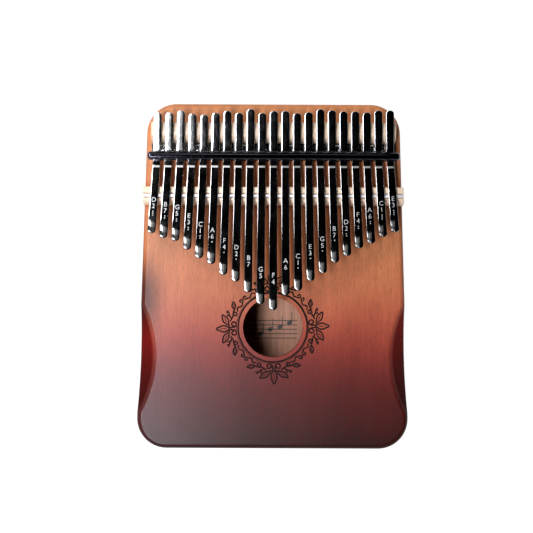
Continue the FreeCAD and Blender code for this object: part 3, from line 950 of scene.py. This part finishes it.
def build_tine(number):
    """One tine with its mark, one strip in place of its shank and its tongue."""
    tine = tines[number - 1]
    bm = strip_of(tine)
    handled = bm.verts.layers.float.new("handled")
    for vertex in bm.verts:
        vertex[handled] = tine.handled(vertex.co.y)
        vertex.co = tine.carried(vertex.co.x, vertex.co.y, vertex.co.z)
    bm.from_mesh(mark_mesh(tine, number))
    piece = piece_from(
        bm, tine.label, None, [spring_steel, etched_steel],
        [tine.label + "_shank", tine.label + "_tongue"],
    )
    shade(piece.data, 50.0)
    reach = tine.pivot_u - tine.rod
    start = tine.carried(0.0, tine.rod, THICKNESS / 2)
    end = tine.carried(0.0, tine.pivot_u + reach, THICKNESS / 2)
    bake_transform(piece)
    return len(piece.data.polygons)


print("faces of the tines:", [build_tine(number) for number in range(1, TINE_COUNT + 1)])

# %% [markdown]
# ## The stamp inside
# A printed stamp shows on the bare back, through the sound hole. A plain one is drawn: five stave
# lines with a few notes, in dark ink. The lines are thin boxes and the note heads flattened discs.

# %% The stamp inside
ink, ink_shader = new_material("stamp_ink", Roughness=0.7)
blots = stretched_noise(ink, 1800.0, (1.0, 1.0, 1.0), detail=4.0)
ink_colour = ramp(ink, blots, ((0.35, (0.022, 0.018, 0.016)), (0.7, (0.10, 0.08, 0.07))))
link(ink, ink_colour, ink_shader.inputs["Base Color"])
STAVE_GAP = 2.5 * MM
STAVE_LENGTH = 26.0 * MM
LINE_WIDTH = 0.5 * MM
HEAD_RADIUS = 1.15 * MM
STEM = 6.0 * MM
INK_HEIGHT = 0.03 * MM


def ink_bar(bm, middle, size):
    """Thin box of ink on the back plate."""
    place = Matrix.Translation((middle[0], middle[1], back_top + INK_HEIGHT / 2))
    scale = Matrix.Diagonal((size[0], size[1], INK_HEIGHT, 1.0))
    bmesh.ops.create_cube(bm, size=1.0, matrix=place @ scale)


def ink_note(bm, x, y, stem):
    """Oval note head with an upright stem."""
    place = Matrix.Translation((x, y, back_top + INK_HEIGHT / 2)) @ Matrix.Rotation(0.35, 4, "Z")
    scale = Matrix.Diagonal((1.35, 1.0, 1.0, 1.0))
    bmesh.ops.create_cone(
        bm, cap_ends=True, segments=20, radius1=HEAD_RADIUS, radius2=HEAD_RADIUS, depth=INK_HEIGHT,
        matrix=place @ scale,
    )
    ink_bar(bm, (x + 1.3 * MM, y + stem / 2), (LINE_WIDTH, stem))


stamp = bmesh.new()
stave_y = SOUND_HOLE.y - 3.0 * MM
for line in range(5):
    ink_bar(stamp, (1.0 * MM, stave_y + (line - 2) * STAVE_GAP), (STAVE_LENGTH, LINE_WIDTH))
for index, step in enumerate((-2, 0, 1, 3)):
    ink_note(stamp, (-6.5 + 5.4 * index) * MM, stave_y + step * STAVE_GAP / 2, STEM)
print("faces of the stamp:", len(stamp.faces))
piece_from(stamp, "stave_stamp", "box", [ink])

# %% [markdown]
# ## Floor and world
# Polished steel shows what is around it, so its surroundings are half of its finish. The floor is
# white paper that shines a little, so the object stands on plain white from every side. The sky
# overhead is dark, which makes the flat tops of the tines black, and it brightens low down towards
# one side, where their rounded edges catch it. A thin white skyline carries the paper on to the
# horizon.

# %% Floor and world
FLOOR_REACH = 60.0
FLOOR_GAP = 0.2 * MM
BRIGHT_SIDE = (-0.85, -0.53, 0.0)
floor_mesh = bmesh.new()
bmesh.ops.create_grid(floor_mesh, x_segments=1, y_segments=1, size=FLOOR_REACH)
bmesh.ops.translate(floor_mesh, verts=floor_mesh.verts, vec=(0.0, 0.0, -FLOOR_GAP))
floor_data = bpy.data.meshes.new("floor")
floor_mesh.to_mesh(floor_data)
floor_mesh.free()
floor = bpy.data.objects.new("floor", floor_data)
bpy.context.scene.collection.objects.link(floor)
paper, paper_shader = new_material("paper_floor", Base_Color=(0.06, 0.06, 0.06, 1.0), Roughness=0.9)
paper_shader.inputs["Emission Color"].default_value = (1.0, 1.0, 1.0, 1.0)
paper_shader.inputs["Emission Strength"].default_value = 1.0
floor_data.materials.append(paper)

world = bpy.data.worlds.new("studio")
bpy.context.scene.world = world
world.use_nodes = True
direction = add_node(world, "TexCoord").outputs["Generated"]
height = add_node(world, "SeparateXYZ", {"Vector": direction}).outputs["Z"]
ring = ramp(world, height, ((0.18, grey(1.0)), (0.50, grey(0.0))))
window = add_node(world, "VectorMath", {0: direction, 1: BRIGHT_SIDE}, operation="DOT_PRODUCT")
side = ramp(world, window.outputs["Value"], ((0.1, grey(0.05)), (0.8, grey(1.0))))
skyline = ramp(world, height, ((0.05, grey(1.0)), (0.07, grey(0.0))))
backdrop = world.node_tree.nodes["Background"]
lit = blended(world, skyline, tinted(world, ring, side, 1.0), (1.0, 1.0, 1.0, 1.0))
link(world, lit, backdrop.inputs["Color"])
backdrop.inputs["Strength"].default_value = 0.95
print("floor reaches, in m:", FLOOR_REACH)

# %% [markdown]
# ## Lights
# All the lights are flat soft panels that face down from one height. A mirror shows a panel at a
# certain angle from straight up, so each is placed by the angles of its sides and not by metres. The
# key light and the tall window strip stand on the left, and weak panels towards the tails put a soft
# edge on the bent steel there.

# %% Lights
PANEL_HEIGHT = 0.7


def ceiling_panel(name, x_degrees, y_degrees, radiance, colour=(1.0, 1.0, 1.0)):
    """Soft light that faces down over the board, its sides given as angles from straight up."""
    data = bpy.data.lights.new(name, "AREA")
    data.shape = "RECTANGLE"
    low = [PANEL_HEIGHT * math.tan(math.radians(degrees[0])) for degrees in (x_degrees, y_degrees)]
    high = [PANEL_HEIGHT * math.tan(math.radians(degrees[1])) for degrees in (x_degrees, y_degrees)]
    data.size = high[0] - low[0]
    data.size_y = high[1] - low[1]
    data.energy = radiance * math.pi * data.size * data.size_y
    data.color = colour
    lamp = bpy.data.objects.new(name, data)
    bpy.context.scene.collection.objects.link(lamp)
    middle = [(first + second) / 2 for first, second in zip(low, high)]
    lamp.location = (middle[0], middle[1], BOARD_TOP + PANEL_HEIGHT)
    return lamp


panels = [
    ceiling_panel("key_light", (-44.0, -20.0), (24.0, 48.0), 14.5),
    ceiling_panel("ridge_light", (-22.0, -1.0), (33.0, 50.0), 1.2),
    ceiling_panel("ridge_fill", (-1.0, 14.0), (33.0, 50.0), 0.45),
    ceiling_panel("window_strip", (-27.0, -14.0), (-40.0, 8.0), 22.0, (0.94, 0.98, 1.07)),
    ceiling_panel("tail_glow", (-14.0, -9.6), (-34.0, -6.0), 0.5),
]
print("power of the panels, in W:", [round(panel.data.energy, 2) for panel in panels])

# %% [markdown]
# ## Camera
# The camera looks straight down at the board from just under half a metre, near enough that the tall
# box shows a little perspective. Its lens follows from that distance and from the width of the view
# at the board's face.

# %% Camera
CAMERA_TURN_DEG = 0.25
VIEW_MIDDLE = Vector((-3.5 * MM, 5.3 * MM, BOARD_TOP))
CAMERA_DISTANCE = 475.0 * MM
VIEW_WIDTH = 285.2 * MM
camera_data = bpy.data.cameras.new("camera")
camera_data.sensor_width = 36.0
camera_data.lens = camera_data.sensor_width * CAMERA_DISTANCE / VIEW_WIDTH
camera_data.clip_start = 0.01
camera = bpy.data.objects.new("camera", camera_data)
bpy.context.scene.collection.objects.link(camera)
camera.location = VIEW_MIDDLE + Vector((0.0, 0.0, CAMERA_DISTANCE))
camera.rotation_euler = (0.0, 0.0, math.radians(CAMERA_TURN_DEG))
bpy.context.scene.camera = camera
bpy.context.scene.view_settings.view_transform = "Standard"
print("lens in mm:", round(camera_data.lens, 1))
